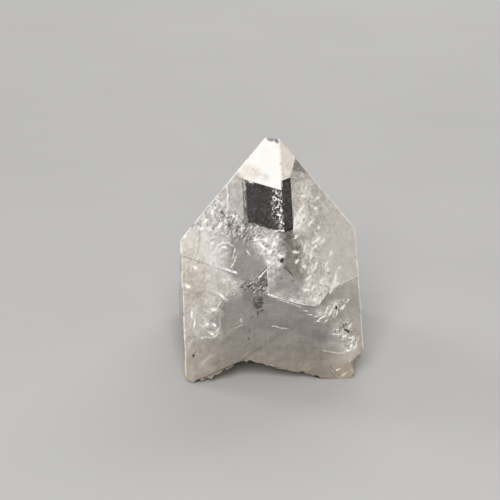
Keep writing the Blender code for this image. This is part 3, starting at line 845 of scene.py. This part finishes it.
def choose(piece, wanted, kind="faces"):
    """In edit mode, selects just the faces, edges or vertices for which wanted is true."""
    mesh = bmesh.from_edit_mesh(piece.data)
    bpy.ops.mesh.select_all(action="DESELECT")
    count = 0
    for item in getattr(mesh, kind):
        if wanted(item):
            item.select_set(True)
            count += 1
    bmesh.update_edit_mesh(piece.data)
    return count


def cut(point, direction):
    """In edit mode, cuts away what lies past a plane and closes the cut."""
    bpy.ops.mesh.select_all(action="SELECT")
    bpy.ops.mesh.bisect(plane_co=point, plane_no=direction, use_fill=True, clear_outer=True, threshold=1e-7)


def face_outwards():
    """In edit mode, turns all faces of a closed piece outwards."""
    bpy.ops.mesh.select_all(action="SELECT")
    bpy.ops.mesh.normals_make_consistent(inside=False)


def finish_piece(piece, name, *materials):
    """Names a piece, gives it its materials, and puts it on the crystal's body."""
    piece.name = name
    piece.data.name = name
    piece.data.materials.clear()
    for material in materials:
        piece.data.materials.append(material)
    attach(piece, "root")


def apply_modifiers(piece):
    work_on(piece)
    for modifier in list(piece.modifiers):
        bpy.ops.object.modifier_apply(modifier=modifier.name)


def part_of(face):
    """Which part of the crystal a face of the mesh belongs to. A sliver is judged by where it lies."""
    longest = max(edge.calc_length() for edge in face.edges)
    sliver = face.calc_area() < SLIVER_WIDTH * longest
    for name, (direction, _) in FACES.items():
        heights = [vert.co.dot(direction) for vert in face.verts]
        lies_flat = sliver and max(heights) - min(heights) < SLIVER_HEIGHT
        if lies_flat or face.normal.dot(direction) >= SAME_DIRECTION:
            return name if name in FRONT_FACES else "around"
    return "break"


def on_foot_line(vert):
    """Whether a vertex is on the line where the break at the base meets the upright faces."""
    if not FOOT_LINE_START < vert.co.z < FOOT_LINE_END:
        return False
    flat = [face for face in vert.link_faces if part_of(face) != "break"]
    upright = all(abs(face.normal.z) < 0.1 for face in flat)
    return upright and 0 < len(flat) < len(vert.link_faces)


def in_break(vert):
    """Whether a vertex lies inside a broken surface, above the points that the crystal stands on."""
    return vert.co.z > STANDING_HEIGHT and all(part_of(face) == "break" for face in vert.link_faces)


def group_where(piece, name, wanted):
    """In edit mode, puts the wanted vertices in a new group."""
    choose(piece, wanted, "verts")
    piece.vertex_groups.new(name=name)
    bpy.ops.object.vertex_group_assign()


def push_about(piece, group, size, strength, direction):
    """Moves a group of vertices by a cloudy pattern, half of it outwards and half inwards."""
    pattern = bpy.data.textures.new(group, "CLOUDS")
    pattern.noise_scale = size
    pattern.noise_depth = 3
    modifier = piece.modifiers.new(group, "DISPLACE")
    modifier.texture = pattern
    modifier.texture_coords = "LOCAL"
    modifier.vertex_group = group
    modifier.direction = direction
    modifier.strength = strength
    modifier.mid_level = 0.5


def roughen(body, sizes):
    """Gives the broken surfaces a fine roughness and an uneven foot line, and keeps the faces flat."""
    set_mode("EDIT")
    bpy.ops.mesh.select_mode(type="VERT")
    bpy.ops.mesh.select_all(action="SELECT")
    bpy.ops.mesh.remove_doubles(threshold=0.0005 * MM)
    bpy.ops.mesh.select_mode(type="FACE")
    if not choose(body, lambda face: part_of(face) == "break" and face.calc_area() > SMALL_FACE):
        raise RuntimeError("the crystal has no broken surface to roughen")
    bpy.ops.mesh.subdivide(number_cuts=2)
    bpy.ops.mesh.quads_convert_to_tris()
    choose(body, lambda face: part_of(face) != "break")
    bpy.ops.mesh.dissolve_limited(angle_limit=math.radians(0.02), delimit={"NORMAL"})
    bpy.ops.mesh.select_mode(type="VERT")
    group_where(body, "break", in_break)
    group_where(body, "foot_line", on_foot_line)
    bpy.ops.mesh.select_mode(type="FACE")
    set_mode("OBJECT")
    push_about(body, "break", BREAK_LUMPS, sizes.break_relief, "NORMAL")
    push_about(body, "foot_line", FOOT_LINE_LUMPS, sizes.foot_relief, "Z")
    apply_modifiers(body)
    bpy.ops.object.shade_smooth_by_angle(angle=math.radians(32))
    set_mode("EDIT")
    choose(body, lambda face: part_of(face) != "break")
    bpy.ops.mesh.faces_shade_flat()
    set_mode("OBJECT")
    body.vertex_groups.clear()


class CRYSTAL_OT_body(bpy.types.Operator):
    """Dress the crystal: its own faces stay flat, and its broken surfaces get a fine roughness"""

    bl_idname = "crystal.body"
    bl_label = "Crystal body"

    def execute(self, context):
        sizes = context.scene.crystal_sizes
        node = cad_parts["crystal"]
        deselect()
        body = bpy.data.objects.new("crystal_body", node.data.copy())
        context.scene.collection.objects.link(body)
        work_on(body)
        roughen(body, sizes)
        finish_piece(body, "crystal_body", *(crystal_finish(sizes, part) for part in PARTS))
        set_mode("EDIT")
        for number, part in enumerate(PARTS):
            if not choose(body, lambda face: part_of(face) == part):
                raise RuntimeError(f"the crystal has no {part}")
            body.active_material_index = number
            bpy.ops.object.material_slot_assign()
        set_mode("OBJECT")
        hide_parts("crystal")
        return {"FINISHED"}


class CRYSTAL_OT_pocket(bpy.types.Operator):
    """Add the dark pocket inside the crystal, close behind the two faces in front: painted shade that makes the
    clear window look dark
    """

    bl_idname = "crystal.pocket"
    bl_label = "Smoky pocket"

    def execute(self, context):
        sizes = context.scene.crystal_sizes
        deselect()
        # The pocket is painted shade: a dark piece that stands for the darkness seen through the clear window
        block, middle = 24 * MM, Vector((0, -8, 27)) * MM
        over_top, under_bottom, back = 0.9 * MM, 0.5 * MM, 0.6 * MM
        bpy.ops.mesh.primitive_cube_add(size=block, location=middle)
        pocket = context.object
        bpy.ops.object.transform_apply(location=True)
        set_mode("EDIT")
        for face in ("front_left", "front_right"):
            direction, reach = FACES[face]
            cut(direction * (reach * MM - sizes.window_depth), direction)
        cut((sizes.window_left, 0, 0), (-1, 0, 0))
        cut((sizes.window_right, 0, 0), (1, 0, 0))
        cut((0, 0, sizes.window_top + over_top), (0.1, 0, 1))
        cut((0, 0, sizes.window_bottom - under_bottom), (0.05, 0.1, -1))
        cut((0, back, 0), (0, 1, 0))
        face_outwards()
        bpy.ops.mesh.bevel(offset=0.08 * MM, segments=2)
        set_mode("OBJECT")
        finish_piece(pocket, "smoky_pocket", pocket_finish(sizes))
        return {"FINISHED"}


# Face, x, z and radius in millimetres of the dark grains that show in front
GRAIN_PLACES = [
    ("front_left", 1.15, 21.0, 0.42), ("front_left", -13.3, 4.1, 0.26), ("front", -2.9, 12.4, 0.2),
    ("front", -2.3, 12.9, 0.15), ("front", -4.0, 11.7, 0.15), ("front", -4.3, 9.4, 0.13),
    ("front", -4.3, 7.8, 0.15), ("front_right", 11.9, 8.3, 0.3), ("front_right", 11.4, 8.7, 0.2),
    ("front_right", 11.7, 9.3, 0.2), ("front_right", 11.4, 9.9, 0.13), ("front", 9.8, 8.8, 0.14),
    ("front_right", 10.1, 12.1, 0.26), ("front_right", 10.5, 11.6, 0.15),
]


class CRYSTAL_OT_grains(bpy.types.Operator):
    """Add the dark mineral grains that sit in the crystal's pits"""

    bl_idname = "crystal.grains"
    bl_label = "Dark grains"

    def execute(self, context):
        material = grain_finish()
        rise = context.scene.crystal_sizes.grain_rise / MM
        sunk, uneven = 0.45, 0.28
        draw = random.Random(11)
        for number, (face, x, z, radius) in enumerate(GRAIN_PLACES):
            spot = face_point(face, x, z, sunk * radius)
            deselect()
            bpy.ops.mesh.primitive_ico_sphere_add(subdivisions=2, radius=radius * MM, location=spot * MM)
            lump = context.object
            bpy.ops.object.transform_apply(location=True)
            set_mode("EDIT")
            bpy.ops.mesh.select_all(action="SELECT")
            bpy.ops.transform.vertex_random(
                offset=uneven * radius * MM, uniform=0.6, normal=0.4, seed=draw.randint(1, 99),
            )
            cut(face_point(face, x, z, -rise) * MM, FACES[face][0])
            face_outwards()
            set_mode("OBJECT")
            finish_piece(lump, f"dark_grain_{number + 1:02d}", material)
        return {"FINISHED"}


# Stage
CRYSTAL_MIDDLE = (0, 0, 0.017)


def lamp(name, size, spot, power):
    """A soft light of this width and height, aimed at the middle of the crystal."""
    light = bpy.data.lights.new(name, "AREA")
    light.shape = "RECTANGLE"
    light.size, light.size_y = size
    light.energy = power
    made = bpy.data.objects.new(name, light)
    made.location = spot
    made.rotation_euler = (Vector(spot) - Vector(CRYSTAL_MIDDLE)).to_track_quat("Z", "Y").to_euler()
    bpy.context.scene.collection.objects.link(made)


def add_camera(scene):
    """The camera at the photograph's angle, with 500 picture elements of 0.17 mm across its view."""
    tilt, turn, distance = math.radians(22.34), math.radians(-4.40), 0.26
    aim = Vector((-3.022, 0.12, 17.401)) * MM
    view_width = 500 * 0.17 * MM
    back = Vector((math.sin(turn) * math.cos(tilt), -math.cos(turn) * math.cos(tilt), math.sin(tilt)))
    data = bpy.data.cameras.new("camera")
    data.sensor_width = 36
    data.lens = data.sensor_width * distance / view_width
    data.clip_start = 0.01
    camera = bpy.data.objects.new("camera", data)
    camera.location = aim + back * distance
    camera.rotation_euler = (-back).to_track_quat("-Z", "Y").to_euler()
    scene.collection.objects.link(camera)
    scene.camera = camera


class CRYSTAL_OT_stage(bpy.types.Operator):
    """Add the pale floor, the soft lights and the camera"""

    bl_idname = "crystal.stage"
    bl_label = "Stage"

    def execute(self, context):
        stage = context.scene.crystal_stage
        deselect()
        bpy.ops.mesh.primitive_circle_add(
            vertices=96, radius=stage.floor_radius, fill_type="NGON", location=(0, 0, 0),
        )
        floor = context.object
        set_mode("EDIT")
        bpy.ops.mesh.select_all(action="SELECT")
        bpy.ops.mesh.extrude_region_move(TRANSFORM_OT_translate={"value": (0, 0, -stage.floor_depth)})
        face_outwards()
        set_mode("OBJECT")
        floor.name = "floor"
        floor.data.materials.append(floor_finish(stage))

        lamp("front_light", (0.34, 0.3), (-0.08, -0.42, 0.37), stage.main_light)
        lamp("left_light", (0.2, 0.3), (-0.42, 0.3, 0.22), stage.side_light)
        lamp("back_light", (0.5, 0.2), (0.18, 0.42, 0.3), stage.back_light)

        world = bpy.data.worlds.new("room")
        world.use_nodes = True
        background = world.node_tree.nodes["Background"]
        background.inputs["Color"].default_value = (1, 0.99, 0.98, 1)
        background.inputs["Strength"].default_value = stage.room
        context.scene.world = world
        context.scene.view_settings.view_transform = "Standard"

        add_camera(context.scene)
        return {"FINISHED"}


OPERATORS = (CRYSTAL_OT_body, CRYSTAL_OT_pocket, CRYSTAL_OT_grains, CRYSTAL_OT_stage)


class CRYSTAL_PT_panel(bpy.types.Panel):
    bl_idname = "CRYSTAL_PT_panel"
    bl_label = "Apophyllite Point"
    bl_space_type = "VIEW_3D"
    bl_region_type = "UI"
    bl_category = "Crystal"

    def draw(self, context):
        for group in (context.scene.crystal_sizes, context.scene.crystal_stage):
            column = self.layout.column()
            for name in group.__annotations__:
                column.prop(group, name)
        for operator in OPERATORS:
            self.layout.operator(operator.bl_idname)


CLASSES = (CrystalSizes, StageSizes, *OPERATORS, CRYSTAL_PT_panel)


def register():
    for this in CLASSES:
        bpy.utils.register_class(this)
    bpy.types.Scene.crystal_sizes = bpy.props.PointerProperty(type=CrystalSizes)
    bpy.types.Scene.crystal_stage = bpy.props.PointerProperty(type=StageSizes)


def unregister():
    del bpy.types.Scene.crystal_stage
    del bpy.types.Scene.crystal_sizes
    for this in reversed(CLASSES):
        bpy.utils.unregister_class(this)


def main():
    register()
    bpy.ops.crystal.body()
    bpy.ops.crystal.pocket()
    bpy.ops.crystal.grains()
    bpy.ops.crystal.stage()
    deselect()


if __name__ == "__main__":
    main()
